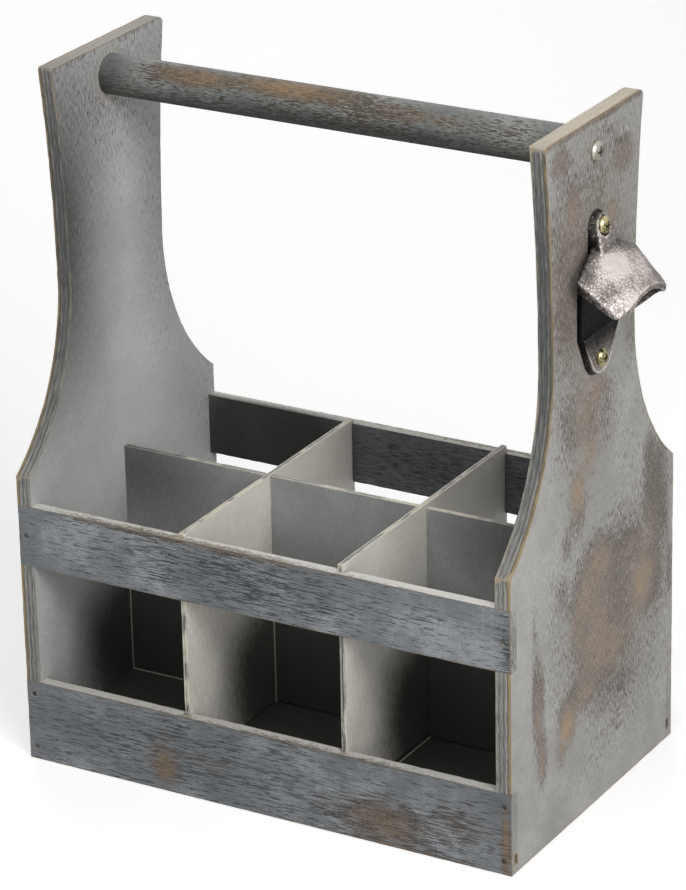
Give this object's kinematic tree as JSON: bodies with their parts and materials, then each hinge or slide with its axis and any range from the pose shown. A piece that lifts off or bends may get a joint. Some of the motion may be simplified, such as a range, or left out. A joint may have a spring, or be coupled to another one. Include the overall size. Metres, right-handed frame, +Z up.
{
  "type": "wooden bottle carrier",
  "caption": "Open plywood bottle carrier with bottle-shaped end panels, a rod handle, an egg-crate divider and a cast bottle opener on one end.",
  "frame": {"origin": "on the ground, in the middle of the base board's underside", "axes": "+X along the carrier towards the end panel with the bottle opener, +Y from the front slats to the back slats, +Z up"},
  "size_m": [0.3005, 0.17, 0.348],
  "materials": {
    "left_panel_paint": "worn matt paint on plywood",
    "right_panel_paint": "worn matt paint on plywood, with brown rubbed patches",
    "slat_paint": "worn matt paint with dark grain streaks",
    "divider_paint": "smooth matt paint",
    "floor_paint": "matt paint",
    "rod_paint": "satin paint rubbed to golden wood on top",
    "opener_casting": "rough cast, nickel plated",
    "opener_screw_metal": "yellow zinc plated",
    "handle_screw_metal": "painted over and worn",
    "brad_metal": "dull, darkened"
  },
  "bodies": {
    "root": {"left_end_panel": "left_panel_paint", "right_end_panel": "right_panel_paint", "front_lower_slat": "slat_paint", "front_upper_slat": "slat_paint", "back_lower_slat": "slat_paint", "back_upper_slat": "slat_paint", "base_board": "floor_paint", "long_divider": "divider_paint", "cross_divider_left": "divider_paint", "cross_divider_right": "divider_paint", "handle_rod": "rod_paint", "handle_screw_left": "handle_screw_metal", "handle_screw_right": "handle_screw_metal", "bottle_opener": "opener_casting", "opener_screw_top": "opener_screw_metal", "opener_screw_bottom": "opener_screw_metal", "front_lower_brads": "brad_metal", "front_upper_brads": "brad_metal", "back_lower_brads": "brad_metal", "back_upper_brads": "brad_metal"}
  },
  "joints": []
}
